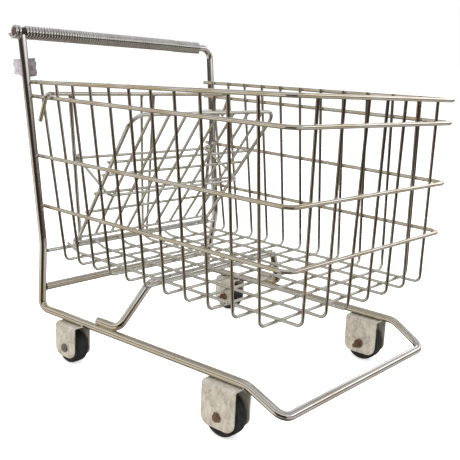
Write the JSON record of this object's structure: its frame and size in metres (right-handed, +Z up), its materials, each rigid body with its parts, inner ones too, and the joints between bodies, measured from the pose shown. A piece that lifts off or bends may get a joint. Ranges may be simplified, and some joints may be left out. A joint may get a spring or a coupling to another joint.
{
  "type": "shopping cart",
  "caption": "Small shopping cart: a flared wire basket on a bent-rod frame with wheels, a spring-wound handle, a swing gate and a folding child seat that holds goods or a toddler.",
  "frame": {"origin": "on the floor under the middle of the cart's overall length and width", "axes": "+X forwards from the handle to the nose, +Y to the cart's left, +Z up"},
  "size_m": [0.2851, 0.2341, 0.2672],
  "materials": {
    "chrome_rod": "bright plated rod, lightly worn",
    "chrome_wire": "bright plated wire, warm and dull at the welds",
    "grip_wire": "close-wound plated wire, dark between turns",
    "zinc_sheet": "dull zinc plate with stains",
    "plain_steel": "dull steel bolt",
    "rusty_steel": "rusty steel nut",
    "black_rubber": "solid black rubber",
    "tag_paper": "blank aged tape"
  },
  "bodies": {
    "cart": {"frame_rod": "chrome_rod", "rear_cross_rod": "chrome_rod", "basket_support_rod": "chrome_rod", "rear_floor_rod": "chrome_wire", "rim_hoop": "chrome_wire", "basket_hoop_2": "chrome_wire", "basket_hoop_3": "chrome_wire", "basket_hoop_4": "chrome_wire", "cross_wire_01": "chrome_wire", "cross_wire_02": "chrome_wire", "cross_wire_03": "chrome_wire", "cross_wire_04": "chrome_wire", "cross_wire_05": "chrome_wire", "cross_wire_06": "chrome_wire", "cross_wire_07": "chrome_wire", "cross_wire_08": "chrome_wire", "cross_wire_09": "chrome_wire", "cross_wire_10": "chrome_wire", "cross_wire_11": "chrome_wire", "front_wire_1": "chrome_wire", "front_wire_2": "chrome_wire", "front_wire_3": "chrome_wire", "front_wire_4": "chrome_wire", "front_wire_5": "chrome_wire", "front_wire_6": "chrome_wire", "front_wire_7": "chrome_wire", "handle_grip_coil": "grip_wire", "handle_end_ferrule": "grip_wire", "upright_tags": "tag_paper", "caster_bracket_rear_right": "zinc_sheet", "caster_bracket_rear_left": "zinc_sheet", "caster_bracket_front_right": "zinc_sheet", "caster_bracket_front_left": "zinc_sheet", "caster_axle_rear_right": "plain_steel", "caster_axle_rear_left": "plain_steel", "caster_axle_front_right": "plain_steel", "caster_axle_front_left": "plain_steel", "axle_nuts": "rusty_steel"},
    "gate": {"gate_hinge_rod": "chrome_wire", "gate_seat_wire": "chrome_wire", "gate_bottom_wire": "chrome_wire", "gate_side_wire_right": "chrome_wire", "gate_side_wire_left": "chrome_wire", "gate_centre_wire_right": "chrome_wire", "gate_centre_wire_left": "chrome_wire"},
    "seat_back": {"seat_back_frame": "chrome_wire", "seat_back_bar_1": "chrome_wire", "seat_back_bar_2": "chrome_wire", "seat_back_bar_3": "chrome_wire", "seat_back_bar_4": "chrome_wire", "seat_back_bar_5": "chrome_wire", "seat_back_bar_6": "chrome_wire", "seat_back_bar_7": "chrome_wire", "seat_back_bar_8": "chrome_wire", "seat_back_cross_wires": "chrome_wire"},
    "seat_platform": {"seat_platform_frame": "chrome_wire"},
    "wheel_rear_right": {"caster_wheel_rear_right": "black_rubber"},
    "wheel_rear_left": {"caster_wheel_rear_left": "black_rubber"},
    "wheel_front_right": {"caster_wheel_front_right": "black_rubber"},
    "wheel_front_left": {"caster_wheel_front_left": "black_rubber"}
  },
  "joints": [
    {"name": "gate_swing", "type": "hinge", "parent": "cart", "child": "gate", "pos_m": [-0.10435, 0, 0.21621], "axis": [0, -1, 0], "range_deg": [0, 75]},
    {"name": "seat_back_fold", "type": "hinge", "parent": "gate", "child": "seat_back", "pos_m": [-0.10002, 0, 0.0923], "axis": [0, -1, 0], "range_deg": [0, 23]},
    {"name": "seat_platform_tilt", "type": "hinge", "parent": "gate", "child": "seat_platform", "pos_m": [-0.10253, 0, 0.16396], "axis": [0, 1, 0], "range_deg": [0, 20.6]},
    {"name": "wheel_spin_rear_right", "type": "hinge", "parent": "cart", "child": "wheel_rear_right", "pos_m": [-0.07315, -0.10226, 0.0134], "axis": [0, 1, 0], "continuous": true},
    {"name": "wheel_spin_rear_left", "type": "hinge", "parent": "cart", "child": "wheel_rear_left", "pos_m": [-0.07976, 0.10238, 0.0134], "axis": [0, 1, 0], "continuous": true},
    {"name": "wheel_spin_front_right", "type": "hinge", "parent": "cart", "child": "wheel_front_right", "pos_m": [0.09248, -0.09932, 0.0154], "axis": [0, 1, 0], "continuous": true},
    {"name": "wheel_spin_front_left", "type": "hinge", "parent": "cart", "child": "wheel_front_left", "pos_m": [0.08327, 0.09948, 0.0154], "axis": [0, 1, 0], "continuous": true}
  ],
  "couplings": [
    {"joint": "seat_platform_tilt", "follows": "seat_back_fold", "ratio": 0.893}
  ]
}
